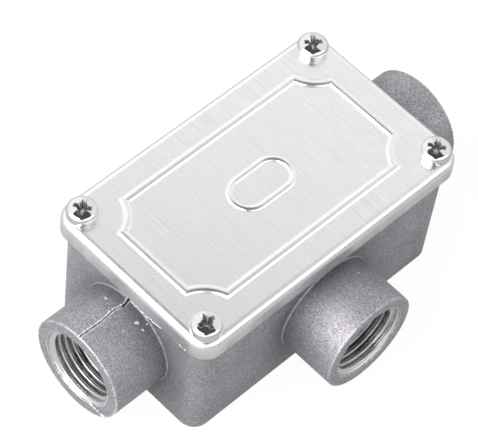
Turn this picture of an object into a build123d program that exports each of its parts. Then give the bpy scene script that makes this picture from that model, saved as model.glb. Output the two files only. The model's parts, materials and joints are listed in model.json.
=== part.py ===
from build123d import *
from math import radians, tan
import os

# A small cast aluminium conduit box of the tee kind, closed by a pressed sheet cover.
# The run lies along X, the side hub points along -Y, and the cover is on top, at +Z.
# The origin is the centre of the flat base. All sizes are in millimetres.

# Casting: outer sizes are at the rim, and the walls lean in towards the base
box_length = 85.3
box_width = 50.0
box_height = 38.0
box_corner_radius = 4.8
wall = 3.0
floor_thickness = 3.0
draft_angle = 0.45
base_edge_radius = 0.6
cavity_corner_radius = 2.5
cavity_floor_radius = 1.5

# Hubs: the bore is cut at the outer radius of a half-inch pipe thread
hub_radius = 14.0
hub_axis_height = 17.35
end_hub_length = 16.35
side_hub_length = 15.9
thread_outer_radius = 10.48
mouth_chamfer = 0.35
hub_face_radius = 0.35
hub_root_radius = 0.4

# Casting faults on the left hub: a seam along its top, and a facet left beside the sawn-off feeder
# Each seam point is a part of the hub's length from its mouth, and a step to the side
# The seam gapes as a crack over its last points, by the wall
seam_points = [
    (-0.1, 0.0),
    (0.12, 0.2),
    (0.42, -0.05),
    (0.57, 0.2),
    (0.7, 0.5),
    (0.84, -0.15),
    (0.92, 0.05),
    (1.0, 0.4),
]
seam_width = 0.3
seam_depth = 0.5
crack_points = 3
crack_width = 0.6
crack_depth = 1.1
facet_depth = 0.28
facet_height = 8.0
facet_rise = 15.0
facet_side = 3.0

# Corner posts that the cover screws run into
post_radius = 4.2
screw_inset = 3.55
screw_hole_depth = 13.0

# Sheet cover
sheet = 1.0
cover_depth = 5.7
bend_radius = 2.0
cover_clearance = 0.6

# Raised bead frame pressed in the cover, notched round the screws
# Both beads have two flanks and a low roof between them, and their tapers are from the upright
bead_inset = 7.65
bead_width = 2.5
bead_height = 0.5
bead_roof_height = 0.1
bead_flank_taper = 50.0
bead_roof_taper = 80.5
bead_notch_radius = 9.8
bead_groove_inset = 0.35

# Plain obround bead pressed in the middle of the cover
centre_bead_length = 20.0
centre_bead_width = 11.5
centre_bead_band = 2.0
centre_bead_height = 0.4

# Rubber frame under the cover
gasket_thickness = 1.5
gasket_clearance = 0.1
gasket_overlap = 1.2
gasket_post_margin = 0.8

# M4 pan-head screws with a cross recess. The shank is the core of the thread.
screw_core_radius = 1.6
core_clearance = 0.06
screw_length = 12.0
screw_tip_chamfer = 0.5
head_radius = 4.0
head_height = 3.1
head_crown_radius = 12.0
head_edge_radius = 1.5
recess_span = 4.9
recess_width = 1.25
recess_depth = 2.1
recess_tip_span = 2.3
recess_tip_width = 0.7
recess_core_radius = 1.5
recess_core_tip_radius = 0.6
clearance_hole_radius = 2.2

# How far round each cover screw's recess stopped when it was tightened, in degrees
recess_turns = {
    "left_rear": 32.0,
    "left_front": 81.0,
    "right_front": 33.0,
    "right_rear": 52.0,
}

# Earth terminal on the floor
earth_end_inset = 16.65
earth_side_inset = 13.0
earth_boss_radius = 5.0
earth_boss_height = 5.0
earth_screw_length = 6.0
earth_hole_margin = 1.0
earth_clamp_side = 8.6
earth_clamp_thickness = 1.0
earth_clamp_corner_radius = 1.2

# Sizes that follow from the ones above
half_length = box_length / 2
half_width = box_width / 2
cover_length = box_length + 2 * (cover_clearance + sheet)
cover_width = box_width + 2 * (cover_clearance + sheet)
cover_corner_radius = box_corner_radius + cover_clearance
cover_underside = box_height + gasket_thickness
cover_top = cover_underside + sheet
screw_x = half_length - screw_inset
screw_y = half_width - screw_inset
screw_hole_radius = screw_core_radius + core_clearance
earth_x = half_length - earth_end_inset
earth_y = half_width - earth_side_inset
earth_boss_top = floor_thickness + earth_boss_height
earth_clamp_top = earth_boss_top + earth_clamp_thickness

screw_places = {
    "left_rear": (-screw_x, screw_y),
    "left_front": (-screw_x, -screw_y),
    "right_front": (screw_x, -screw_y),
    "right_rear": (screw_x, screw_y),
}


def at_height(height, sketch):
    """Lift a flat sketch to a height."""
    return Pos(0, 0, height) * sketch


def post(x, y, radius, top, depth):
    """Return an upright cylinder that hangs down from a height."""
    return Pos(x, y, top - depth) * Cylinder(radius, depth, align=(Align.CENTER, Align.CENTER, Align.MIN))


def hub_planes():
    """Return each hub's plane, whose normal is the hub's axis, and its face's distance from it."""
    centre = (0, 0, hub_axis_height)
    return [
        (Plane(centre, z_dir=(-1, 0, 0)), half_length, end_hub_length),
        (Plane(centre, z_dir=(1, 0, 0)), half_length, end_hub_length),
        (Plane(centre, z_dir=(0, -1, 0)), half_width, side_hub_length),
    ]


def box_block():
    """Return the solid outside of the box, with its rounded base edge."""
    rim = at_height(box_height, RectangleRounded(box_length, box_width, box_corner_radius))
    block = extrude(rim, amount=-box_height, taper=draft_angle)
    base = block.faces().sort_by(Axis.Z)[0]
    return fillet(base.edges(), base_edge_radius)


def hub_barrel(plane, wall_distance, length):
    """Return one hub's barrel, from inside the wall to its end face."""
    start = wall_distance - wall / 2
    end = wall_distance + length
    barrel = plane * Pos(0, 0, start) * extrude(Circle(hub_radius), amount=end - start)
    mouth = barrel.faces().sort_by(Axis(plane.origin, plane.z_dir))[-1]
    return fillet(mouth.edges(), hub_face_radius)


def hub_bore(plane, wall_distance, length):
    """Return what is cut out of a hub: the thread's bore, open to the cavity, and its mouth chamfer."""
    start = wall_distance - 2 * wall
    end = wall_distance + length
    profile = Polyline(
        (0, 0, start),
        (thread_outer_radius, 0, start),
        (thread_outer_radius, 0, end - mouth_chamfer),
        (thread_outer_radius + 2 * mouth_chamfer, 0, end + mouth_chamfer),
        (0, 0, end + mouth_chamfer),
        (0, 0, start),
    )
    return plane * revolve(make_face(profile), Axis.Z)


def cavity():
    """Return the space inside the walls, before the posts stand in it."""
    outline = RectangleRounded(box_length - 2 * wall, box_width - 2 * wall, cavity_corner_radius)
    depth = box_height - floor_thickness
    space = extrude(at_height(box_height, outline), amount=-depth, taper=draft_angle)
    bottom = space.faces().sort_by(Axis.Z)[0]
    return fillet(bottom.edges(), cavity_floor_radius)


def corner_posts(block):
    """Return the four posts in the corners, cut off at the outside of the walls."""
    depth = box_height - floor_thickness / 2
    posts = [
        Pos(x, y, box_height) * extrude(Circle(post_radius), amount=-depth, taper=-draft_angle)
        for x, y in screw_places.values()
    ]
    return [post_shape & block for post_shape in posts]


def seam_cut(points, width, depth):
    """Return a slot of a depth along the top of the left hub, through points along its length."""
    mouth = -half_length - end_hub_length
    path = Polyline(*[(mouth + part * end_hub_length, side) for part, side in points])
    slot = trace(path, line_width=width)
    top = hub_axis_height + hub_radius
    return extrude(at_height(top - depth, slot), amount=2 * depth)


def casting_faults():
    """Return what the seam, its crack by the wall and the facet take off the left hub."""
    seam = seam_cut(seam_points, seam_width, seam_depth)
    crack = seam_cut(seam_points[-crack_points:], crack_width, crack_depth)
    mouth = -half_length - end_hub_length
    wedge = Polyline(
        (mouth, facet_height),
        (mouth + facet_depth, facet_height),
        (mouth, facet_height + facet_rise),
        close=True,
    )
    facet = extrude(Plane.XZ.offset(facet_side) * make_face(wedge), amount=hub_radius)
    return [seam, crack, facet]


def make_casting():
    """Return the one-piece casting."""
    block = box_block()
    barrels = [hub_barrel(*place) for place in hub_planes()]
    outside = block + barrels
    roots = new_edges(block, *barrels, combined=outside)
    outside = fillet(roots, hub_root_radius)
    casting = outside - cavity() + corner_posts(block)
    casting += post(earth_x, earth_y, earth_boss_radius, earth_boss_top, earth_boss_height + floor_thickness / 2)
    casting -= [hub_bore(*place) for place in hub_planes()]
    casting -= [post(x, y, screw_hole_radius, box_height, screw_hole_depth) for x, y in screw_places.values()]
    earth_hole_depth = earth_screw_length - earth_clamp_thickness + earth_hole_margin
    casting -= post(earth_x, earth_y, screw_hole_radius, earth_boss_top, earth_hole_depth)
    return casting - casting_faults()


def notched_panel(inset):
    """Return a rectangle inside the bead's outer line, with its corners cut round the screws."""
    length = cover_length - 2 * (bead_inset + inset)
    width = cover_width - 2 * (bead_inset + inset)
    notches = [Pos(x, y) * Circle(bead_notch_radius + inset) for x, y in screw_places.values()]
    return Rectangle(length, width) - notches


def obround_panel(inset):
    """Return an obround inside the centre bead's outer line."""
    return SlotOverall(centre_bead_length - 2 * inset, centre_bead_width - 2 * inset)


def pressed_step(panel, inset, base, height, way):
    """Return a panel's step up from a base: a flank and then a roof, inwards where way is 1, else outwards."""
    flank_height = height - bead_roof_height
    flank = extrude(at_height(base, panel(inset)), amount=flank_height, taper=way * bead_flank_taper)
    roof_inset = inset + way * flank_height * tan(radians(bead_flank_taper))
    roof = at_height(base + flank_height, panel(roof_inset))
    return flank + extrude(roof, amount=bead_roof_height, taper=way * bead_roof_taper)


def pressed_ring(panel, outer_inset, inner_inset, base, height):
    """Return a ridge between two outlines of a panel."""
    outside = pressed_step(panel, outer_inset, base, height, 1)
    return outside - pressed_step(panel, inner_inset, base, height, -1)


def make_cover():
    """Return the pressed cover: a shallow tray upside down, with its beads and screw holes."""
    outline = RectangleRounded(cover_length, cover_width, cover_corner_radius)
    outside = extrude(at_height(cover_top, outline), amount=-cover_depth)
    outside = fillet(outside.faces().sort_by(Axis.Z)[-1].edges(), bend_radius)
    room = RectangleRounded(
        cover_length - 2 * sheet,
        cover_width - 2 * sheet,
        cover_corner_radius - sheet,
    )
    inside = extrude(at_height(cover_underside, room), amount=-cover_depth)
    inside = fillet(inside.faces().sort_by(Axis.Z)[-1].edges(), bend_radius - sheet)
    cover = outside - inside
    cover += pressed_ring(notched_panel, 0, bead_width, cover_top, bead_height)
    cover += pressed_ring(obround_panel, 0, centre_bead_band, cover_top, centre_bead_height)
    grooves = [
        (notched_panel, bead_width, bead_height),
        (obround_panel, centre_bead_band, centre_bead_height),
    ]
    for panel, band, depth in grooves:
        far = band - bead_groove_inset
        cover -= pressed_ring(panel, bead_groove_inset, far, cover_underside, depth)
    holes = [post(x, y, clearance_hole_radius, cover_top + sheet, 3 * sheet) for x, y in screw_places.values()]
    return cover - holes


def make_gasket():
    """Return the rubber frame that lies between the casting's rim and the cover."""
    edge = 2 * (bend_radius + gasket_clearance)
    outline = RectangleRounded(cover_length - edge, cover_width - edge, box_corner_radius)
    window = RectangleRounded(
        box_length - 2 * (wall + gasket_overlap),
        box_width - 2 * (wall + gasket_overlap),
        cavity_corner_radius,
    )
    window -= [Pos(x, y) * Circle(post_radius + gasket_post_margin) for x, y in screw_places.values()]
    holes = [Pos(x, y) * Circle(clearance_hole_radius) for x, y in screw_places.values()]
    return extrude(at_height(box_height, outline - window - holes), amount=gasket_thickness)


def cross_recess(turn):
    """Return the tapered cross that the driver fits, below a head whose top is at head_height."""
    floor = head_height - recess_depth
    wing = loft([
        at_height(floor, Rectangle(recess_tip_span, recess_tip_width)),
        at_height(head_height, Rectangle(recess_span, recess_width)),
    ])
    core = Pos(0, 0, floor) * Cone(
        recess_core_tip_radius,
        recess_core_radius,
        recess_depth,
        align=(Align.CENTER, Align.CENTER, Align.MIN),
    )
    return Rot(0, 0, turn) * (wing + Rot(0, 0, 90) * wing + core)


def crown_level(radius):
    """Return the height of the head's crown at a distance from the screw's axis."""
    drop = head_crown_radius - (head_crown_radius**2 - radius**2) ** 0.5
    return head_height - drop


def make_screw(x, y, seat, length, turn):
    """Return a pan-head screw whose head sits on a height, with its shank pointing down."""
    shoulder = (head_radius, crown_level(head_radius))
    outline = Polyline(
        (0, head_height),
        (0, -length),
        (screw_core_radius - screw_tip_chamfer, -length),
        (screw_core_radius, -length + screw_tip_chamfer),
        (screw_core_radius, 0),
        (head_radius, 0),
        shoulder,
    )
    crown = ThreePointArc(shoulder, (head_radius / 2, crown_level(head_radius / 2)), (0, head_height))
    profile = make_face(outline + crown)
    corner = profile.vertices().sort_by_distance(shoulder)[0]
    profile = Plane.XZ * fillet(corner, head_edge_radius)
    screw = revolve(profile, Axis.Z) - cross_recess(turn)
    return Pos(x, y, seat) * screw


def make_earth_clamp():
    """Return the square clamp washer that lies on the earth boss."""
    plate = RectangleRounded(earth_clamp_side, earth_clamp_side, earth_clamp_corner_radius)
    plate -= Circle(clearance_hole_radius)
    return Pos(earth_x, earth_y, earth_boss_top) * extrude(plate, amount=earth_clamp_thickness)


def make_parts():
    """Return every piece of the box by its name."""
    pieces = {
        "body_casting": make_casting(),
        "cover": make_cover(),
        "cover_gasket": make_gasket(),
        "earth_clamp": make_earth_clamp(),
        "earth_screw": make_screw(earth_x, earth_y, earth_clamp_top, earth_screw_length, 0),
    }
    for corner, (x, y) in screw_places.items():
        turn = recess_turns[corner]
        pieces["cover_screw_" + corner] = make_screw(x, y, cover_top, screw_length, turn)
    return pieces


os.makedirs("parts", exist_ok=True)
for name, shape in make_parts().items():
    export_step(shape, "parts/" + name + ".step")
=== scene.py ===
"""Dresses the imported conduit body: metal finishes, pipe threads, screw threads and casting marks.

Lengths are in metres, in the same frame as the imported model: the run lies along X, the side hub
points along -Y, the cover faces +Z, and the flat base rests on z = 0.
"""

import json
import logging
import math
from dataclasses import dataclass
from enum import Enum
from typing import Any

import bpy
import numpy as np
from mathutils import Matrix, Vector

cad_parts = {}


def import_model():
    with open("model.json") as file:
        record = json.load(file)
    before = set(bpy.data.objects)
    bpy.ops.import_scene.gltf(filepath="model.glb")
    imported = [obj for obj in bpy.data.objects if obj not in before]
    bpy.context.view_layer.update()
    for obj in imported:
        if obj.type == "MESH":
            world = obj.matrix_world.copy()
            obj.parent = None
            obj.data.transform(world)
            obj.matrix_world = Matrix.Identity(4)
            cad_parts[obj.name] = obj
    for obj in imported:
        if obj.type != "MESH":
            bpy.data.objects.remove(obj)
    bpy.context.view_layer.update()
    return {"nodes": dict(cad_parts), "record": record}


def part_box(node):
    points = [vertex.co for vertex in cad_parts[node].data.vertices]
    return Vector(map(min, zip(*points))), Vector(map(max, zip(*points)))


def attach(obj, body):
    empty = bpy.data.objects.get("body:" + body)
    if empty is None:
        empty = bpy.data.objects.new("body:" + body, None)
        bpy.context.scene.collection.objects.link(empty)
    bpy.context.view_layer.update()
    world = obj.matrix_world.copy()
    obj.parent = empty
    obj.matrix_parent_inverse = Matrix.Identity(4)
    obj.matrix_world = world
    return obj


LOG = logging.getLogger("conduit_body")
MM = 0.001
TAU = 2 * math.pi
COVER_SCREW_LENGTH = 12 * MM
EARTH_SCREW_LENGTH = 6 * MM
# The flat part of a thread's height at its root and at its crest, and the flank's part.
THREAD_FLAT = 1 / 6
THREAD_FLANK = 4 / 6
# How much of a grey's tint goes to its blue.
BLUE_SHARE = 0.8
# The rays that look for hollows and edges at each point.
HOLLOW_RAYS = 8
Colour = tuple[float, float, float, float]
Span = tuple[float, float]
Shell = tuple[np.ndarray, np.ndarray, list[list[int]]]
UNIT: Span = (0.0, 1.0)


class Hub(Enum):
    """The three hubs, each by the name of its mount in the record."""

    LEFT = "hub_left"
    RIGHT = "hub_right"
    SIDE = "hub_side"


class Slot(Enum):
    """The record's material slots."""

    CAST = "cast_aluminium"
    SHEET = "sheet_aluminium"
    RUBBER = "gasket_rubber"
    PLATED = "bright_plating"
    BRASS = "earth_brass"
    ZINC = "zinc_plating"


class Mixed(Enum):
    """What a Mix node mixes, with the places of its two inputs and its result."""

    NUMBERS = ("FLOAT", 2, 3, 0)
    COLOURS = ("RGBA", 6, 7, 2)


def grey(value: float, tint: float = 0.0) -> Colour:
    """Return a grey with a slight tint, where a positive tint is cooler and more purple."""
    return (value, value * (1 - tint), value * (1 + BLUE_SHARE * tint), 1.0)


def smooth_step(x: np.ndarray) -> np.ndarray:
    """Return 3t² - 2t³ with t held between 0 and 1, which rises smoothly from 0 to 1."""
    t = np.clip(x, 0.0, 1.0)
    return t * t * (3 - 2 * t)


@dataclass(frozen=True)
class Ripple:
    """A ragged wave along a piece: its size, the turns of its slowest sine, and a seed.

    It is the mean of four sines, sin(f x + seed f²), whose frequencies f grow by an odd ratio, so
    that the sum doesn't repeat over the lengths used here. The gain brings its peaks to about 1.
    """

    size: float
    turns: float
    seed: float
    ratio: float = 1.7
    sines: int = 4
    gain: float = 1.6

    def at(self, part: np.ndarray) -> np.ndarray:
        """Work the wave out. It lies between about minus and plus its size.

        Args:
            part: how far along the piece each point is, from 0 to 1.

        Returns:
            The wave at each part.
        """
        frequencies = TAU * self.ratio ** np.arange(self.sines)
        waves = np.sin(np.multiply.outer(part * self.turns, frequencies) + self.seed * frequencies**2)
        return waves.mean(axis=-1) * self.gain * self.size


def shell(rings: np.ndarray, joined: bool = False) -> Shell:
    """Close rings of points into one shell.

    Points i, i + 1 of rings j, j + 1 make one quad, and each ring closes on itself. The ends are
    closed by one polygon each, unless the last ring joins the first. The sum of a · (b × c) over
    the triangles a, b, c is six times the signed volume. Where it is negative, every face is
    turned, so that all faces point outwards.

    Args:
        rings: points by ring, place in the ring, and coordinate.
        joined: whether the last ring joins the first.

    Returns:
        The points, the quads and the end polygons.
    """
    count, around = rings.shape[:2]
    points = rings.reshape(-1, 3)
    index = np.arange(count * around).reshape(count, around)
    here = index if joined else index[:-1]
    there = np.roll(index, -1, axis=0) if joined else index[1:]
    quads = np.stack([here, np.roll(here, -1, axis=1), np.roll(there, -1, axis=1), there], axis=-1)
    quads = quads.reshape(-1, 4)
    ends = [] if joined else [index[0, ::-1].tolist(), index[-1].tolist()]
    a, b, c, d = (points[quads[:, k]] - points.mean(axis=0) for k in range(4))
    volume = (a * np.cross(b, c)).sum() + (a * np.cross(c, d)).sum()
    if volume < 0:
        quads = quads[:, ::-1]
        ends = [end[::-1] for end in ends]
    return points, quads, ends


def new_object(name: str, data: Any) -> bpy.types.Object:
    """Make an object and put it into the scene.

    Args:
        name: the object's name.
        data: its mesh, lamp or camera.

    Returns:
        The new object, at the origin.
    """
    made = bpy.data.objects.new(name, data)
    bpy.context.scene.collection.objects.link(made)
    return made


def shell_mesh(name: str, shells: list[Shell]) -> bpy.types.Object:
    """Make one smoothly shaded object of closed shells.

    Args:
        name: the piece's name.
        shells: each shell's points, quads and end polygons.

    Returns:
        The new object.
    """
    points: list[list[float]] = []
    faces: list[list[int]] = []
    for places, quads, ends in shells:
        first = len(points)
        points += places.tolist()
        faces += (quads + first).tolist()
        faces += [[first + i for i in end] for end in ends]
    mesh = bpy.data.meshes.new(name)
    mesh.from_pydata(points, [], faces)
    mesh.polygons.foreach_set("use_smooth", np.ones(len(faces), dtype=bool))
    mesh.update()
    return new_object(name, mesh)


def bar_mesh(name: str, x: np.ndarray, y: np.ndarray, z: np.ndarray) -> bpy.types.Object:
    """Make one closed bar, from its rings' coordinates by ring and place in the ring."""
    rings = np.stack(np.broadcast_arrays(x, y, z), axis=-1)
    return shell_mesh(name, [shell(rings)])


def facing(place: Vector, aim: Vector, roll: float = 0.0) -> Matrix:
    """Return the placement that looks from a place to an aim, rolled by an angle in radians."""
    turn = (aim - place).to_track_quat("-Z", "Y").to_matrix().to_4x4()
    return Matrix.Translation(place) @ (turn @ Matrix.Rotation(roll, 4, "Z"))


class Shader:
    """A node tree, with short calls to add nodes, set values and join sockets."""

    def __init__(self, tree: bpy.types.NodeTree) -> None:
        """Keep the tree."""
        self.tree = tree

    def feed(self, socket: bpy.types.NodeSocket, value: Any) -> None:
        """Join a socket to an input, or set the input's own value.

        Args:
            socket: the input.
            value: another node's output, or a number, colour or vector.
        """
        if isinstance(value, bpy.types.NodeSocket):
            self.tree.links.new(value, socket)
        else:
            socket.default_value = value

    def feed_all(self, sockets: Any, values: tuple[Any, ...]) -> None:
        """Feed inputs in order, as far as there are values."""
        for socket, value in zip(sockets, values):
            self.feed(socket, value)

    def fill(self, node: bpy.types.Node, **values: Any) -> None:
        """Set a node's properties and feed its inputs.

        Args:
            node: the node.
            values: properties of the node, or inputs by name with spaces as underscores.
        """
        for key, value in values.items():
            if hasattr(node, key):
                setattr(node, key, value)
            else:
                self.feed(node.inputs[key.replace("_", " ")], value)

    def node(self, kind: str, **values: Any) -> bpy.types.Node:
        """Add a node.

        Args:
            kind: the node's type without its ShaderNode prefix.
            values: properties and inputs, as in fill.

        Returns:
            The new node.
        """
        made = self.tree.nodes.new("ShaderNode" + kind)
        self.fill(made, **values)
        return made

    def math(self, operation: str, *values: Any) -> Any:
        """Work out a number.

        Args:
            operation: the math node's operation.
            values: up to three numbers or sockets.

        Returns:
            The result's socket.
        """
        made = self.node("Math", operation=operation)
        self.feed_all(made.inputs, values)
        return made.outputs[0]

    def vector(self, operation: str, *values: Any) -> Any:
        """Work out a vector, or the number of a dot product.

        Args:
            operation: the vector math node's operation.
            values: one or two vectors or sockets.

        Returns:
            The result's socket.
        """
        made = self.node("VectorMath", operation=operation)
        self.feed_all(made.inputs, values)
        return made.outputs["Value" if operation == "DOT_PRODUCT" else "Vector"]

    def blend(self, share: Any, low: Any, high: Any, mixed: Mixed = Mixed.COLOURS) -> Any:
        """Go from one colour or number to another.

        Args:
            share: how far to go, from 0 to 1.
            low: what there is at 0.
            high: what there is at 1.
            mixed: whether they are colours or numbers.

        Returns:
            The result's socket.
        """
        kind, low_at, high_at, result_at = mixed.value
        made = self.node("Mix", data_type=kind)
        self.feed_all((made.inputs[0], made.inputs[low_at], made.inputs[high_at]), (share, low, high))
        return made.outputs[result_at]

    def spread(self, value: Any, given: tuple[Any, Any], wanted: tuple[Any, Any] = UNIT) -> Any:
        """Carry a number from one range to another and hold it inside that.

        Args:
            value: the number.
            given: the two ends of the range it comes from.
            wanted: the two ends of the range it goes to.

        Returns:
            The result's socket.
        """
        made = self.node("MapRange")
        self.feed_all(made.inputs, (value, *given, *wanted))
        return made.outputs[0]

    def layer(self, share: Any, under: bpy.types.Node, over: bpy.types.Node) -> Any:
        """Lay one shader over another.

        Args:
            share: how much of the upper one shows, from 0 to 1.
            under: the lower shader.
            over: the upper shader.

        Returns:
            The result's socket.
        """
        made = self.node("MixShader")
        self.feed_all(made.inputs, (share, under.outputs[0], over.outputs[0]))
        return made.outputs[0]

    def noise(self, place: Any, waves_a_metre: Any, detail: float = 2.0) -> Any:
        """Return a soft random pattern that varies about a half."""
        return self.node("TexNoise", Vector=place, Scale=waves_a_metre, Detail=detail).outputs[0]

    def bump(self, height: Any, depth: float, normal: Any) -> Any:
        """Return a normal bent by a height, where depth is the height's size in metres."""
        return self.node("Bump", Strength=1.0, Distance=depth, Height=height, Normal=normal).outputs[0]

    def rounded(self, radius: Any) -> Any:
        """Return a normal that is rounded near sharp edges."""
        return self.node("Bevel", Radius=radius).outputs[0]


class Effect:
    """A shader node group that several finishes use, made once and then shared."""

    name = "Effect"
    inputs: tuple[tuple[str, float], ...] = ()
    outputs: tuple[tuple[str, str], ...] = ()

    def draw(self, shader: Shader, given: Any) -> dict[str, Any]:
        """Build the inside of the group from its inputs, and return its outputs by name."""
        raise NotImplementedError

    def tree(self) -> bpy.types.NodeTree:
        """Build the group on the first call.

        Returns:
            The group.
        """
        known = bpy.data.node_groups.get(self.name)
        if known:
            return known
        group = bpy.data.node_groups.new(self.name, "ShaderNodeTree")
        sockets = group.interface
        sockets.new_socket("Vector", in_out="INPUT", socket_type="NodeSocketVector")
        for label, value in self.inputs:
            socket = sockets.new_socket(label, in_out="INPUT", socket_type="NodeSocketFloat")
            socket.default_value = value
        for label, kind in self.outputs:
            sockets.new_socket(label, in_out="OUTPUT", socket_type="NodeSocket" + kind)
        given = group.nodes.new("NodeGroupInput").outputs
        results = group.nodes.new("NodeGroupOutput").inputs
        shader = Shader(group)
        for label, socket in self.draw(shader, given).items():
            shader.feed(results[label], socket)
        return group

    def place(self, shader: Shader, vector: Any, **values: float) -> Any:
        """Put the group in a material, with its inputs by name, and return its outputs."""
        return shader.node("Group", node_tree=self.tree(), Vector=vector, **values).outputs


class CastGrain(Effect):
    """Grains of cast metal: each cell leans its own way, so that some catch the light."""

    name = "Cast grain"
    inputs = (("Grain size", 0.24 * MM), ("Lean", 0.3), ("Edge radius", 0.3 * MM))
    outputs = (("Normal", "Vector"), ("Height", "Float"), ("Tone", "Float"), ("Cell", "Float"))
    middle = (0.5, 0.5, 0.5)
    clouds_a_metre = 120.0
    pits_a_metre = 3200.0

    def draw(self, shader: Shader, given: Any) -> dict[str, Any]:
        """Lean each cell of the grain size by its own random vector, and add clouds and pits.

        Args:
            shader: the group's node tree.
            given: the group's inputs.

        Returns:
            The group's outputs by name.
        """
        scale = shader.math("DIVIDE", 1.0, given["Grain size"])
        colour = shader.node("TexVoronoi", Vector=given["Vector"], Scale=scale).outputs["Color"]
        centred = shader.vector("SUBTRACT", colour, self.middle)
        lean = shader.node("VectorMath", operation="SCALE", Vector=centred, Scale=given["Lean"])
        leaning = shader.vector("ADD", shader.rounded(given["Edge radius"]), lean.outputs[0])
        return {
            "Normal": shader.vector("NORMALIZE", leaning),
            "Height": shader.noise(given["Vector"], self.pits_a_metre),
            "Tone": shader.noise(given["Vector"], self.clouds_a_metre),
            "Cell": shader.node("SeparateColor", Color=colour).outputs[0],
        }


class EdgeMask(Effect):
    """A mask of edges, painted bright partly as rubbed and trimmed metal and partly as a painted highlight.
    """

    name = "Edge mask"
    inputs = (("Radius", 0.42 * MM), ("Depth", 0.9 * MM))
    outputs = (("Mask", "Float"),)
    sharp: Span = (0.99, 0.93)
    thin: Span = (0.8, 0.6)
    gaps: Span = (0.38, 0.52)
    gaps_a_metre = 1000.0

    def draw(self, shader: Shader, given: Any) -> dict[str, Any]:
        """Find edges in two ways, and break the line up with noise.

        At a sharp edge the rounded normal leaves the flat one, by their dot product. At a rounded
        outer edge the metal is thinner than the depth on its way to the next face.

        Args:
            shader: the group's node tree.
            given: the group's inputs.

        Returns:
            The group's outputs by name.
        """
        flat = shader.node("NewGeometry").outputs["Normal"]
        likeness = shader.vector("DOT_PRODUCT", shader.rounded(given["Radius"]), flat)
        edge = shader.spread(likeness, self.sharp)
        metal = shader.node(
            "AmbientOcclusion", Distance=given["Depth"], samples=HOLLOW_RAYS, inside=True, only_local=True
        )
        outer = shader.spread(metal.outputs["AO"], self.thin)
        broken = shader.spread(shader.noise(given["Vector"], self.gaps_a_metre, detail=3.0), self.gaps)
        return {"Mask": shader.math("MULTIPLY", shader.math("MAXIMUM", edge, outer), broken)}


class Specks(Effect):
    """Small scattered pits or bright spots: round, and in a few cells of a random pattern."""

    name = "Specks"
    inputs = (("Spacing", 6 * MM), ("Radius", 0.06), ("Share", 0.3))
    outputs = (("Mask", "Float"),)
    smallest = 0.4

    def draw(self, shader: Shader, given: Any) -> dict[str, Any]:
        """Give a cell a spot where its random number is under the share.

        A spot's radius is the one given, as a part of the spacing, times the smallest plus a
        random number up to 1.

        Args:
            shader: the group's node tree.
            given: the group's inputs.

        Returns:
            The group's outputs by name.
        """
        scale = shader.math("DIVIDE", 1.0, given["Spacing"])
        cells = shader.node("TexVoronoi", Vector=given["Vector"], Scale=scale)
        split = shader.node("SeparateColor", Color=cells.outputs["Color"])
        chosen = shader.math("LESS_THAN", split.outputs[1], given["Share"])
        size = shader.math("MULTIPLY", given["Radius"], shader.math("ADD", split.outputs[2], self.smallest))
        inside = shader.math("LESS_THAN", cells.outputs["Distance"], size)
        return {"Mask": shader.math("MULTIPLY", chosen, inside)}


class HollowShade(Effect):
    """A mask of narrow hollows and inner corners, where painted shade darkens the colour."""

    name = "HollowShade"
    inputs = (("Reach", 1.5 * MM), ("Open", 0.85), ("Shut", 0.5))
    outputs = (("Mask", "Float"),)
    patches: Span = (0.3, 0.6)
    patch_depth: Span = (0.75, 1.0)
    patches_a_metre = 1500.0

    def draw(self, shader: Shader, given: Any) -> dict[str, Any]:
        """Raise the mask as less of the sky is seen past what lies within the reach.

        Args:
            shader: the group's node tree.
            given: the group's inputs.

        Returns:
            The group's outputs by name.
        """
        sky = shader.node(
            "AmbientOcclusion", Distance=given["Reach"], samples=HOLLOW_RAYS, only_local=True
        )
        hidden = shader.spread(sky.outputs["AO"], (given["Open"], given["Shut"]))
        noise = shader.noise(given["Vector"], self.patches_a_metre)
        patchy = shader.spread(noise, self.patches, self.patch_depth)
        return {"Mask": shader.math("MULTIPLY", hidden, patchy)}


class RolledLines(Effect):
    """Fine lines left by rolling the sheet, and broader streaks left by drawing its sides down."""

    name = "Rolled lines"
    inputs = (("Width", 0.4 * MM),)
    outputs = (("Line", "Float"), ("Scratch", "Float"), ("Swell", "Float"))
    long_in_y = (1.0, 0.025, 1.0)
    long_in_z = (1.0, 1.0, 0.08)
    line: Span = (0.3, 0.7)
    scratch: Span = (0.6, 0.75)
    streaks_a_metre = 330.0

    def draw(self, shader: Shader, given: Any) -> dict[str, Any]:
        """Draw noise out along Y for the lines, and another noise along Z for the streaks.

        Args:
            shader: the group's node tree.
            given: the group's inputs.

        Returns:
            The group's outputs by name.
        """
        drawn = shader.vector("MULTIPLY", given["Vector"], self.long_in_y)
        lines = shader.noise(drawn, shader.math("DIVIDE", 1.0, given["Width"]))
        upright = shader.vector("MULTIPLY", given["Vector"], self.long_in_z)
        return {
            "Line": shader.spread(lines, self.line),
            "Scratch": shader.spread(lines, self.scratch),
            "Swell": shader.noise(upright, self.streaks_a_metre),
        }


@dataclass(frozen=True)
class Finish:
    """A metal or rubber finish: a name, its colour and how it reflects."""

    name: str
    colour: Colour
    metallic: float
    roughness: float

    def make(self) -> bpy.types.Material:
        """Make the finish, with its pattern drawn by the finish's own kind.

        Returns:
            The material.
        """
        material = bpy.data.materials.new(self.name)
        material.use_nodes = True
        shader = Shader(material.node_tree)
        surface = material.node_tree.nodes["Principled BSDF"]
        shader.fill(surface, Base_Color=self.colour, Metallic=self.metallic, Roughness=self.roughness)
        self.draw(shader, surface, shader.node("TexCoord").outputs["Object"])
        return material

    def draw(self, shader: Shader, surface: bpy.types.Node, place: Any) -> None:
        """Add the pattern that varies over the surface."""
        raise NotImplementedError


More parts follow.
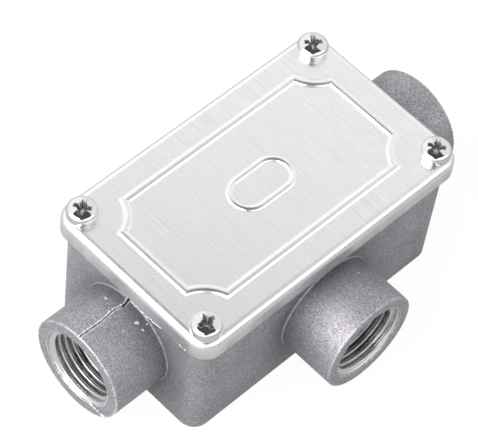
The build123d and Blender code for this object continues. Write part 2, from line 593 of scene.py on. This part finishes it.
@dataclass(frozen=True)
class CastFinish(Finish):
    """As-cast aluminium: matte grey with a fine sparkling grain."""

    dark: Colour = grey(0.285, 0.034)
    light: Colour = grey(0.57, 0.034)
    # Colour of rubbed edges with a painted edge highlight, and of bright specks.
    rubbed_and_highlit: Colour = grey(0.9, 0.01)
    # Painted shade: the colour of inner corners, such as the hub roots.
    corner: Colour = grey(0.12, 0.034)
    clouding: float = 0.5
    edge_share: float = 0.8
    sparkle: float = 0.1
    lean: float = 0.13
    grain_depth: float = 0.01 * MM
    rubbed_and_highlit_roughness: float = 0.4
    rubbed_and_highlit_metallic: float = 0.4

    def draw(self, shader: Shader, surface: bpy.types.Node, place: Any) -> None:
        """Lean and tint the grains, brighten specks and edges with wear and a painted highlight, and paint
        shade into inner corners.

        Args:
            shader: the material's node tree.
            surface: its surface shader.
            place: the object coordinates.
        """
        grain = CastGrain().place(shader, place, Lean=self.lean)
        tone = shader.math("MULTIPLY_ADD", grain["Tone"], self.clouding, -self.clouding / 2)
        pits = shader.math("MULTIPLY_ADD", grain["Height"], self.clouding, -self.clouding / 2)
        mixed = shader.math("ADD", shader.math("ADD", grain["Cell"], tone), pits)
        ground = shader.blend(shader.spread(mixed, UNIT), self.dark, self.light)
        # Painted shade: inner corners within 14 mm, such as the hub roots, are painted darker.
        corner = HollowShade().place(shader, place, Reach=14 * MM, Open=0.95, Shut=0.25)["Mask"]
        ground = shader.blend(corner, ground, self.corner)
        # Edges are painted bright, partly as rubbed metal and partly as a painted highlight, and made less
        # metallic so that they catch every light.
        edge = EdgeMask().place(shader, place)["Mask"]
        specks = Specks().place(shader, place, Spacing=2.8 * MM, Radius=0.07, Share=0.35)["Mask"]
        marks = shader.math("MAXIMUM", shader.math("MULTIPLY", edge, self.edge_share), specks)
        rough = shader.spread(grain["Cell"], UNIT, (self.roughness, self.roughness - self.sparkle))
        shader.fill(
            surface,
            Base_Color=shader.blend(marks, ground, self.rubbed_and_highlit),
            Roughness=shader.spread(marks, UNIT, (rough, self.rubbed_and_highlit_roughness)),
            Metallic=shader.spread(marks, UNIT, (self.metallic, self.rubbed_and_highlit_metallic)),
            Normal=shader.bump(grain["Height"], self.grain_depth, grain["Normal"]),
        )


@dataclass(frozen=True)
class SheetFinish(Finish):
    """Rolled aluminium sheet: pale and satin, with fine lines and a few dark pits."""

    pit: Colour = grey(0.4)
    scratch: Colour = grey(0.82, 0.012)
    line: Colour = grey(0.88, 0.012)
    # Painted shade: the skirt below the bend is painted this darker grey towards its foot, in streaks.
    drawn: Colour = grey(0.62)
    bend_top: float = 40.2 * MM
    bend_foot: float = 35.5 * MM
    drawn_roughness: float = 0.12
    streaks: Span = (0.35, 0.65)
    streak_share: Span = (0.45, 1.0)
    streak_depth: float = 0.06 * MM
    clouds: Span = (0.3, 0.7)
    cloud_roughness: Span = (-0.03, 0.03)
    edge: float = 0.15 * MM

    def draw(self, shader: Shader, surface: bpy.types.Node, place: Any) -> None:
        """Run lines across the cover and scatter pits on it; below the bend it is rougher and streaked,
        with painted shade.

        Args:
            shader: the material's node tree.
            surface: its surface shader.
            place: the object coordinates.
        """
        lines = RolledLines().place(shader, place)
        pits = Specks().place(shader, place, Spacing=5.5 * MM, Radius=0.03, Share=0.3)["Mask"]
        height = shader.node("SeparateXYZ", Vector=place).outputs[2]
        drawn = shader.spread(height, (self.bend_top, self.bend_foot))
        lined = shader.blend(lines["Line"], self.colour, self.line)
        scratched = shader.blend(lines["Scratch"], lined, self.scratch)
        patchy = shader.spread(lines["Swell"], self.streaks, self.streak_share)
        # Painted shade on the skirt, in streaks, growing from the bend's top to its foot.
        shaded_below_bend = shader.blend(shader.math("MULTIPLY", drawn, patchy), scratched, self.drawn)
        dull = shader.math("MULTIPLY_ADD", drawn, self.drawn_roughness, self.roughness)
        cloud = shader.spread(lines["Swell"], self.clouds, self.cloud_roughness)
        streaks = shader.math("MULTIPLY", lines["Swell"], drawn)
        shader.fill(
            surface,
            Base_Color=shader.blend(pits, shaded_below_bend, self.pit),
            Roughness=shader.math("ADD", dull, cloud),
            Normal=shader.bump(streaks, self.streak_depth, shader.rounded(self.edge)),
        )


@dataclass(frozen=True)
class PlatedFinish(Finish):
    """Bright plating or bare metal over a stamped, turned or torn part, a little uneven."""

    unevenness: float = 0.012 * MM
    waves_a_metre: float = 900.0
    clouds_a_metre: float = 2500.0
    clouds: Span = (0.35, 0.7)
    polish: Span = (0.7, 1.6)
    # How much of the colour the painted shade in hollows leaves.
    shade: float = 0.2
    dullness: float = 0.35
    hollow_metallic: float = 0.4
    edge: float = 0.15 * MM

    def draw(self, shader: Shader, surface: bpy.types.Node, place: Any) -> None:
        """Ripple the surface and cloud its polish with soft noise; hollows get painted shade and are dull.

        Args:
            shader: the material's node tree.
            surface: its surface shader.
            place: the object coordinates.
        """
        # Painted shade: deep, narrow hollows such as a screw's recess are painted dark, less metallic and
        # rougher.
        hollow_shade = HollowShade().place(shader, place)["Mask"]
        deep = tuple(part * self.shade for part in self.colour[:3]) + (1.0,)
        clouds = shader.noise(place, self.clouds_a_metre, detail=3.0)
        roughness = tuple(self.roughness * part for part in self.polish)
        polish = shader.spread(clouds, self.clouds, roughness)
        waves = shader.noise(place, self.waves_a_metre)
        shader.fill(
            surface,
            Base_Color=shader.blend(hollow_shade, self.colour, deep),
            Metallic=shader.spread(hollow_shade, UNIT, (self.metallic, self.hollow_metallic)),
            Roughness=shader.math("MULTIPLY_ADD", hollow_shade, self.dullness, polish),
            Normal=shader.bump(waves, self.unevenness, shader.rounded(self.edge)),
        )


@dataclass(frozen=True)
class CutFinish(Finish):
    """Freshly cut metal in a thread: bright, with torn lines round the cut."""

    axis: tuple[float, float, float] = (1.0, 0.0, 0.0)
    # Painted shade in the thread's roots.
    root: Colour = grey(0.3, 0.02)
    lines_a_metre: float = 4000.0
    line_depth: float = 0.016 * MM
    clouds_a_metre: float = 300.0
    clouds: Span = (0.35, 0.7)
    polish: Span = (0.8, 1.3)
    edge: float = 0.12 * MM

    def draw(self, shader: Shader, surface: bpy.types.Node, place: Any) -> None:
        """Draw the lines as noise on the distance along the thread's axis, and paint shade into its roots.

        Args:
            shader: the material's node tree.
            surface: its surface shader.
            place: the object coordinates.
        """
        along = shader.vector("DOT_PRODUCT", place, self.axis)
        lines = shader.node(
            "TexNoise", noise_dimensions="1D", W=along, Scale=self.lines_a_metre, Detail=2.0
        )
        # Painted shade: the thread's roots and hollows are painted darker.
        hollow_shade = HollowShade().place(shader, place, Reach=2 * MM, Open=0.75, Shut=0.25)["Mask"]
        clouds = shader.noise(place, self.clouds_a_metre, detail=1.0)
        roughness = tuple(self.roughness * part for part in self.polish)
        shader.fill(
            surface,
            Base_Color=shader.blend(hollow_shade, self.colour, self.root),
            Roughness=shader.spread(clouds, self.clouds, roughness),
            Normal=shader.bump(lines.outputs[0], self.line_depth, shader.rounded(self.edge)),
        )


@dataclass(frozen=True)
class RubberFinish(Finish):
    """Moulded black rubber with a fine bloom."""

    dust: Colour = grey(0.16)
    clouds: Span = (0.45, 0.8)
    dusting: Span = (0.0, 0.35)
    clouds_a_metre: float = 500.0
    grains_a_metre: float = 5000.0
    grain_depth: float = 0.03 * MM
    edge: float = 0.2 * MM

    def draw(self, shader: Shader, surface: bpy.types.Node, place: Any) -> None:
        """Lay pale dust in soft clouds over a fine grain.

        Args:
            shader: the material's node tree.
            surface: its surface shader.
            place: the object coordinates.
        """
        clouds = shader.noise(place, self.clouds_a_metre, detail=4.0)
        dusty = shader.spread(clouds, self.clouds, self.dusting)
        grain = shader.noise(place, self.grains_a_metre)
        shader.fill(
            surface,
            Base_Color=shader.blend(dusty, self.colour, self.dust),
            Normal=shader.bump(grain, self.grain_depth, shader.rounded(self.edge)),
        )


class Finishes:
    """Every finish of the object, made once: one for each slot, and those of the torn metal."""

    def __init__(self) -> None:
        """Make the materials, each of a name, a colour, a metallic share and a roughness."""
        looks = {
            Slot.CAST: CastFinish("Cast aluminium", grey(0.46, 0.03), 1.0, 0.7),
            Slot.SHEET: SheetFinish("Sheet aluminium", grey(0.93, 0.012), 1.0, 0.28),
            Slot.PLATED: PlatedFinish("Bright plating", grey(0.75), 1.0, 0.06),
            Slot.BRASS: PlatedFinish("Earth brass", (0.74, 0.53, 0.24, 1.0), 1.0, 0.22),
            Slot.ZINC: PlatedFinish("Zinc plating", (0.66, 0.68, 0.7, 1.0), 1.0, 0.3),
            Slot.RUBBER: RubberFinish("Gasket rubber", grey(0.03), 0.0, 0.8),
        }
        self.of_slot = {slot: look.make() for slot, look in looks.items()}
        self.flash = PlatedFinish("Torn flash", grey(0.8), 1.0, 0.35).make()
        self.lump = PlatedFinish("Cast lump", grey(0.45, 0.03), 1.0, 0.5).make()

    def cut(self, axis: np.ndarray) -> bpy.types.Material:
        """Make a freshly cut finish whose lines run round an axis, once for each axis.

        Args:
            axis: the thread's direction, along X, Y or Z.

        Returns:
            The material.
        """
        name = "Cut thread " + "XYZ"[int(np.argmax(np.abs(axis)))]
        known = bpy.data.materials.get(name)
        return known or CutFinish(name, grey(0.78, 0.01), 1.0, 0.3, tuple(np.abs(axis))).make()


def dress(node: bpy.types.Object, material: bpy.types.Material) -> None:
    """Give a CAD node or a new piece one material."""
    node.data.materials.clear()
    node.data.materials.append(material)


def settle(piece: bpy.types.Object, body: str, material: bpy.types.Material) -> None:
    """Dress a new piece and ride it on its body.

    Args:
        piece: the new piece.
        body: the body that it moves with.
        material: its finish.
    """
    dress(piece, material)
    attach(piece, body)
    LOG.info("%s: %d faces, rides on %s", piece.name, len(piece.data.polygons), body)


def thread_ridge(phase: np.ndarray) -> np.ndarray:
    """Return a triangle wave of the phase, in turns, cut off flat at the root (0) and the crest (1)."""
    wave = np.abs(2 * (phase % 1.0) - 1)
    return np.clip((wave - THREAD_FLAT) / THREAD_FLANK, 0.0, 1.0)


@dataclass
class PipeThread:
    """The helical ridge that is cut inside a hub."""

    hub: Hub
    mouth: np.ndarray
    axis: np.ndarray
    bore_radius: float
    length: float
    pitch: float = 25.4 * MM / 14
    depth: float = 1.162 * MM
    plain_lead: float = 0.4 * MM
    fade_turns: float = 0.6
    wall_gap: float = 0.02 * MM
    embedded: float = 0.15 * MM
    steps_round: int = 144
    steps_along: int = 200

    def build(self, material: bpy.types.Material) -> None:
        """Build the ridge as a closed sleeve inside the bore.

        On the inside, the radius at angle a and distance s from the mouth is the bore's radius less
        the depth times the ridge height at phase s / pitch + a / turn. The phase makes the thread
        right-handed. The ridge fades in over the fade's share of a pitch at each end. The outside
        is a plain cylinder in the metal of the hub.

        Args:
            material: the cut metal.
        """
        start, end = self.plain_lead, self.length
        angle = np.linspace(0, TAU, self.steps_round, endpoint=False)[:, None]
        along = np.linspace(start, end, self.steps_along)[None, :]
        edge = np.minimum(along - start, end - along) / (self.pitch * self.fade_turns)
        ridge = thread_ridge(along / self.pitch + angle / TAU) * smooth_step(edge)
        inner = self.bore_radius - self.wall_gap - self.depth * ridge
        outer = np.full((self.steps_round, 2), self.bore_radius + self.embedded)
        radius = np.concatenate([inner, outer], axis=1)
        depth_in = np.concatenate([along[0], [end, start]])[None, :]
        up = np.array([0.0, 0.0, 1.0])
        side = np.cross(self.axis, up)
        round_part = np.cos(angle)[..., None] * up + np.sin(angle)[..., None] * side
        points = self.mouth - depth_in[..., None] * self.axis + radius[..., None] * round_part
        piece = shell_mesh(self.hub.value + "_thread", [shell(points, joined=True)])
        settle(piece, "box", material)


@dataclass
class ScrewThread:
    """The thread on a screw's shank, whose core is the CAD shank."""

    node: str
    body: str
    length: float
    core_radius: float = 1.6 * MM
    ridge_height: float = 0.36 * MM
    pitch: float = 0.7 * MM
    head_gap: float = 0.2 * MM
    runout: float = 0.9 * MM
    tip_gap: float = 0.5 * MM
    tip_chamfer: float = 0.4 * MM
    skin: float = 0.015 * MM
    steps_round: int = 40
    steps_a_turn: int = 10

    def build(self, slot: Slot, material: bpy.types.Material) -> None:
        """Build the thread as a closed bar with a helical ridge.

        The radius at angle a and height z is the core's radius plus the ridge height at phase
        z / pitch - a / turn, which makes the thread right-handed. It fades out over one pitch
        before the runout under the head, and over one pitch past the tip's chamfer.

        Args:
            slot: the record's slot of the screw; not used.
            material: the screw's plating.
        """
        low, high = (np.array(corner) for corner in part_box(self.node))
        centre = (low + high) / 2
        tip, seat = low[2], low[2] + self.length
        steps = int(self.length / self.pitch * self.steps_a_turn)
        height = np.linspace(tip + self.tip_gap, seat - self.head_gap, steps)[:, None]
        angle = np.linspace(0, TAU, self.steps_round, endpoint=False)[None, :]
        fade = smooth_step((seat - self.runout - height) / self.pitch)
        fade = fade * smooth_step((height - tip - self.tip_chamfer) / self.pitch)
        ridge = thread_ridge(height / self.pitch - angle / TAU) * fade
        radius = self.core_radius + self.skin + self.ridge_height * ridge
        x = centre[0] + radius * np.cos(angle)
        y = centre[1] + radius * np.sin(angle)
        settle(bar_mesh(self.node + "_thread", x, y, height), self.body, material)


@dataclass
class TornSeam:
    """The torn lip that stands beside the seam on top of the left hub.

    Each seam point is a part of the hub's length from its mouth, and a step to the side in
    millimetres.
    """

    mouth_x: float = -59.0 * MM
    length: float = 16.35 * MM
    axis_height: float = 17.35 * MM
    hub_radius: float = 14.0 * MM
    seam_points: tuple[tuple[float, float], ...] = (
        (0.0, 0.17),
        (0.12, 0.2),
        (0.42, -0.05),
        (0.57, 0.2),
        (0.7, 0.5),
        (0.84, -0.15),
        (0.92, 0.05),
        (1.0, 0.4),
    )
    first_part: float = 0.02
    gap: float = 0.17 * MM
    gap_wave: Ripple = Ripple(0.1 * MM, 9, 0.4)
    width: float = 0.5 * MM
    width_wave: Ripple = Ripple(0.5, 5, 2.1)
    height: float = 0.2 * MM
    height_wave: Ripple = Ripple(0.8, 7, 1.3)
    least_height: float = 0.01 * MM
    wall_rise: float = 1.3
    rise_from: float = 0.75
    rise_over: float = 0.2
    shoulder_place: float = 0.3
    shoulder_height: float = 0.8
    back_sunk: float = 0.02 * MM
    sunk: float = 0.25 * MM
    steps: int = 260

    def build(self, material: bpy.types.Material) -> None:
        """Build the lip as a bar along the seam.

        At a part t of the length, the lip starts beside the seam at y = s(t) + gap, where s joins
        the seam points by straight lines and the gap has a ragged wave. Its top stands over the
        barrel by the height times a ragged wave of t, and more near the wall. Its back runs down
        over a shoulder to the barrel over its width, which has a ragged wave of its own. The
        barrel's top at y is axis height + √(r² - y²).

        Args:
            material: the torn metal.
        """
        t = np.linspace(self.first_part, 1.0, self.steps)
        parts, sides = np.array(self.seam_points).T
        near = np.interp(t, parts, sides * MM) + self.gap + self.gap_wave.at(t)
        back = near + self.width * (1 + self.width_wave.at(t))
        shoulder = near * (1 - self.shoulder_place) + back * self.shoulder_place
        y = np.stack([near, near, shoulder, back, back], axis=-1)
        rise = self.wall_rise * smooth_step((t - self.rise_from) / self.rise_over)
        tall = np.maximum(self.height * (1 + self.height_wave.at(t) + rise), self.least_height)
        foot = np.full_like(t, -self.sunk)
        heel = np.full_like(t, -self.back_sunk)
        lift = np.stack([foot, tall, self.shoulder_height * tall, heel, foot], axis=-1)
        z = self.axis_height + np.sqrt(self.hub_radius**2 - y**2) + lift
        x = (self.mouth_x + self.length * t)[:, None]
        settle(bar_mesh("left_hub_torn_seam", x, y, z), "box", material)


@dataclass
class WallFlash:
    """A thin line of flash that stands out of the left wall beside the hub's root."""

    rim_x: float = -42.65 * MM
    rim_height: float = 38.0 * MM
    draft: float = math.radians(0.45)
    start_y: float = -0.3 * MM
    end_y: float = -12.6 * MM
    start_z: float = 31.35 * MM
    rise: float = 0.35 * MM
    level_wave: Ripple = Ripple(0.05 * MM, 3, 1.9)
    reach: float = 0.34 * MM
    reach_wave: Ripple = Ripple(0.6, 6, 0.7)
    least_reach: float = 0.01 * MM
    fade_rate: float = 3.0
    thickness: float = 0.2 * MM
    edge_share: float = 0.4
    sunk: float = 0.2 * MM
    steps: int = 200

    def build(self, material: bpy.types.Material) -> None:
        """Build the flash as a bar along the wall.

        At a part t of its length, it stands out by its reach times a ragged wave of t, and it
        fades out over its last third, where (1 - t) times the fade rate is under 1. Its level
        rises with t² and has a small wave. Its outer edge is thinner by the edge's share. The
        wall's face at height z lies at rim x + (rim height - z) times the draft's tangent.

        Args:
            material: the torn metal.
        """
        t = np.linspace(0, 1, self.steps)
        out = self.reach * (1 + self.reach_wave.at(t)) * smooth_step((1 - t) * self.fade_rate)
        out = np.maximum(out, self.least_reach)
        middle = self.start_z + self.rise * t**2 + self.level_wave.at(t)
        half = self.thickness / 2
        thin = self.edge_share * half
        z = np.stack([middle - half, middle - thin, middle + thin, middle + half], axis=-1)
        wall_x = self.rim_x + (self.rim_height - z) * math.tan(self.draft)
        foot = np.full_like(t, self.sunk)
        x = wall_x + np.stack([foot, -out, -out, foot], axis=-1)
        y = (self.start_y + (self.end_y - self.start_y) * t)[:, None]
        settle(bar_mesh("left_wall_flash", x, y, z), "box", material)


@dataclass(frozen=True)
class Nodule:
    """A small lump on the casting, in millimetres: its centre, radius and stretch along Y."""

    x: float
    y: float
    z: float
    radius: float
    stretch: float = 1.0


HUB_LUMPS = (
    Nodule(-45.2, -5.4, 30.1, 0.75),
    Nodule(-43.3, -6.9, 29.5, 0.35),
    Nodule(-45.1, -7.3, 29.25, 0.28, 2.2),
    Nodule(-46.3, 4.4, 30.6, 0.3, 2.6),
    Nodule(-48.4, 1.3, 31.25, 0.24),
    Nodule(-55.1, -13.85, 19.0, 0.2),
    Nodule(-48.9, -11.45, 25.35, 0.2),
    Nodule(-43.2, -1.2, 30.95, 0.3, 1.6),
)
SKIRT_BURRS = (
    Nodule(-44.2, -17.7, 34.85, 0.1, 2.0),
    Nodule(-44.2, -18.6, 34.85, 0.16, 2.4),
    Nodule(-44.2, -19.4, 34.9, 0.12, 1.6),
    Nodule(-44.2, -20.3, 34.85, 0.15, 2.0),
    Nodule(-44.15, -21.4, 34.85, 0.1, 2.0),
)


@dataclass
class Nodules:
    """Small lumps of metal: those left on the left hub, or the burrs on the edge of the skirt."""

    name: str
    lumps: tuple[Nodule, ...]
    lobes: float = 0.18
    lean: float = 0.12
    last_latitude: float = 0.48
    rings: int = 13
    around: int = 24

    def build(self, body: str, slot: Slot, material: bpy.types.Material) -> None:
        """Build every lump as a small uneven ball, sunk to about its middle.

        At latitude a and longitude b, a ball's radius is its own times 1 + lobes · sin(3b) cos(a)
        + lean · sin(2a + b). The last latitude, in half turns, keeps the end rings open.

        Args:
            body: the body that the lumps ride on.
            slot: the record's slot of the metal; not used.
            material: the torn metal.
        """
        pole = self.last_latitude
        latitude = np.linspace(-pole, pole, self.rings)[:, None] * math.pi
        turn = np.linspace(0, TAU, self.around, endpoint=False)[None, :]
        uneven = 1 + self.lobes * np.sin(3 * turn) * np.cos(latitude)
        uneven = uneven + self.lean * np.sin(2 * latitude + turn)
        across = uneven * np.cos(latitude)
        up = uneven * np.sin(latitude)
        ball = np.stack([across * np.cos(turn), across * np.sin(turn), up * np.ones_like(turn)], axis=-1)
        shells = []
        for lump in self.lumps:
            size = lump.radius * np.array([1.0, lump.stretch, 1.0])
            place = np.array([lump.x, lump.y, lump.z])
            shells.append(shell((place + ball * size) * MM))
        settle(shell_mesh(self.name, shells), body, material)


@dataclass(frozen=True)
class TentWall:
    """A wall of the light tent: its light low down and high up, and its height one unit away."""

    low: float
    high: float
    top: float


@dataclass
class Studio:
    """Floor, lamp, world and camera for the photograph's view."""

    camera_place: Vector = Vector((-0.30243, -0.23743, 0.55902))
    aim: Vector = Vector((-0.00006, 0.00512, 0.02))
    roll: float = math.radians(8.73)
    lens: float = 200.83
    sensor: float = 36.0
    clip: Span = (0.01, 20.0)
    floor_half: float = 3.0
    floor_colour: Colour = grey(0.45)
    floor_seen: Colour = grey(0.9)
    glow: float = 1.03
    glow_seen: float = 0.9
    glow_in_metal: float = 0.2
    left: TentWall = TentWall(1.28, 1.4, 1.66)
    right: TentWall = TentWall(0.85, 1.0, 2.1)
    front: TentWall = TentWall(0.1, 1.5, 1.66)
    back: TentWall = TentWall(0.9, 1.18, 2.1)
    ceiling: float = 0.085
    glow_height: float = 0.42
    corner_drop: float = 0.5
    wall_edge: Span = (-0.06, 0.06)
    side_edge: Span = (-0.05, 0.05)
    corner_edge: Span = (-0.02, 0.02)
    lamp_place: Vector = Vector((-0.7, 0.12, 0.55))
    lamp_size: float = 0.8
    lamp_power: float = 7.6

    def camera(self) -> None:
        """Place the camera where the photograph was taken from, with its slight roll."""
        data = bpy.data.cameras.new("Camera")
        data.lens = self.lens
        data.sensor_width = self.sensor
        data.clip_start, data.clip_end = self.clip
        camera = new_object("Camera", data)
        camera.matrix_world = facing(self.camera_place, self.aim, self.roll)
        bpy.context.scene.camera = camera

    def world(self) -> None:
        """Light like a white tent with a dark open top, and plain white to the camera.

        A direction's larger level part m picks the wall that it meets, and z / m is the height
        where it meets a wall one unit away. Above the wall's height lies the dark ceiling. The two
        walls next to the camera are lower, and lower still where they meet, so that bright metal
        mirrors their corner.
        """
        world = bpy.data.worlds.new("Studio")
        bpy.context.scene.world = world
        world.use_nodes = True
        shader = Shader(world.node_tree)
        world.node_tree.nodes.clear()
        direction = shader.node("TexCoord").outputs["Generated"]
        x, y, z = shader.node("SeparateXYZ", Vector=direction).outputs
        wide, deep = shader.math("ABSOLUTE", x), shader.math("ABSOLUTE", y)
        on_x = shader.spread(shader.math("SUBTRACT", wide, deep), self.corner_edge)
        low, high, top = (self.pick(shader, x, y, on_x, part) for part in ("low", "high", "top"))
        larger = shader.math("MAXIMUM", wide, deep)
        corner = shader.math("DIVIDE", shader.math("MINIMUM", wide, deep), larger)
        near = shader.math("MULTIPLY", shader.math("LESS_THAN", x, 0.0), shader.math("LESS_THAN", y, 0.0))
        drop = shader.math("MULTIPLY", shader.math("MULTIPLY", corner, near), self.corner_drop)
        top = shader.math("MULTIPLY", top, shader.math("SUBTRACT", 1.0, drop))
        met = shader.math("DIVIDE", z, larger)
        level = shader.blend(shader.spread(met, (0.0, self.glow_height)), low, high, Mixed.NUMBERS)
        open_top = shader.spread(shader.math("SUBTRACT", met, top), self.wall_edge)
        strength = shader.blend(open_top, level, self.ceiling, Mixed.NUMBERS)
        around = shader.node("Background", Color=grey(1.0), Strength=strength)
        plain = shader.node("Background", Color=grey(1.0), Strength=1.0)
        seen = shader.node("LightPath").outputs["Is Camera Ray"]
        shader.node("OutputWorld", Surface=shader.layer(seen, around, plain))

    def pick(self, shader: Shader, x: Any, y: Any, on_x: Any, part: str) -> Any:
        """Pick one part of the wall that a direction meets.

        Args:
            shader: the world's node tree.
            x: the direction's part along X.
            y: the direction's part along Y.
            on_x: 1 where the direction meets the left or right wall.
            part: the name of the wall's field.

        Returns:
            The socket of the value.
        """
        walls = (self.left, self.right, self.front, self.back)
        left, right, front, back = (getattr(wall, part) for wall in walls)
        on_sides = shader.spread(x, self.side_edge, (left, right))
        on_ends = shader.spread(y, self.side_edge, (front, back))
        return shader.blend(on_x, on_ends, on_sides, Mixed.NUMBERS)

    def floor(self) -> None:
        """Lay a plain white floor that keeps a soft shadow of the object.

        A share of it glows white, most of it to the camera and less of it to glossy and
        transmission rays, so that metal mirrors a pale floor with the shadow still on it.
        """
        corner = self.floor_half
        mesh = bpy.data.meshes.new("Floor")
        square = [(-corner, -corner, 0), (corner, -corner, 0), (corner, corner, 0), (-corner, corner, 0)]
        mesh.from_pydata(square, [], [(0, 1, 2, 3)])
        material = bpy.data.materials.new("Studio floor")
        material.use_nodes = True
        material.node_tree.nodes.clear()
        shader = Shader(material.node_tree)
        path = shader.node("LightPath").outputs
        seen = path["Is Camera Ray"]
        mirrored = shader.math("MAXIMUM", path["Is Glossy Ray"], path["Is Transmission Ray"])
        in_metal = shader.math("MULTIPLY", mirrored, self.glow_in_metal)
        share = shader.math("MULTIPLY_ADD", seen, self.glow_seen, in_metal)
        colour = shader.blend(seen, self.floor_colour, self.floor_seen)
        matte = shader.node("BsdfDiffuse", Color=colour)
        glow = shader.node("Emission", Color=grey(1.0), Strength=self.glow)
        shader.node("OutputMaterial", Surface=shader.layer(share, matte, glow))
        floor = new_object("Floor", mesh)
        dress(floor, material)

    def lamp(self) -> None:
        """Hang a large square lamp to the left, facing the object."""
        data = bpy.data.lights.new("Key", "AREA")
        data.size = self.lamp_size
        data.energy = self.lamp_power
        new_object("Key", data).matrix_world = facing(self.lamp_place, Vector())

    def build(self) -> None:
        """Set up the whole studio."""
        bpy.context.scene.view_settings.view_transform = "Standard"
        self.camera()
        self.world()
        self.floor()
        self.lamp()


def hub_mouth(casting: str, axis: np.ndarray, centre: np.ndarray) -> np.ndarray:
    """Find the centre of a hub's end face.

    The end face is where the hub's axis meets the casting's box, since the hubs reach its sides.

    Args:
        casting: the casting's node.
        axis: the direction out of the hub.
        centre: a point on the hub's axis.

    Returns:
        The point on the axis in the plane of the end face.
    """
    low, high = (np.array(corner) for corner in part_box(casting))
    side = np.where(axis > 0, high, low)
    reach = np.dot(side - centre, axis)
    return centre + reach * axis


def main() -> None:
    """Load the frame, dress every node, add the new pieces and set up the studio."""
    logging.basicConfig(level=logging.INFO, format="%(message)s")
    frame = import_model()
    nodes = frame["nodes"]
    bodies = frame["record"]["behaviour"]["bodies"]
    body_of = {node: body for body, members in bodies.items() for node in members}
    finishes = Finishes()
    for entry in frame["record"]["subparts"]:
        slot = Slot(entry["material_slot"])
        dress(nodes[entry["node"]], finishes.of_slot[slot])
        LOG.info("%s: dressed as %s", entry["node"], slot.value)

    mounts = {mount["name"]: mount for mount in frame["record"]["mounts"]}
    for hub in Hub:
        mount = mounts[hub.value]
        axis = np.array(mount["axis"], dtype=float)
        mouth = hub_mouth("body_casting", axis, np.array(mount["pos_m"], dtype=float))
        bore = mount["dims"]["r_mm"] * MM
        length = mount["dims"]["length_mm"] * MM
        PipeThread(hub, mouth, axis, bore, length).build(finishes.cut(axis))

    for node, body in body_of.items():
        if node.startswith("cover_screw"):
            screw = ScrewThread(node, body, COVER_SCREW_LENGTH)
            screw.build(Slot.PLATED, finishes.of_slot[Slot.PLATED])
    earth = ScrewThread("earth_screw", body_of["earth_screw"], EARTH_SCREW_LENGTH)
    earth.build(Slot.BRASS, finishes.of_slot[Slot.BRASS])
    TornSeam().build(finishes.flash)
    WallFlash().build(finishes.flash)
    Nodules("casting_nodules", HUB_LUMPS).build("box", Slot.CAST, finishes.lump)
    Nodules("skirt_burrs", SKIRT_BURRS).build("lid", Slot.SHEET, finishes.flash)

    Studio().build()


if __name__ == "__main__":
    main()
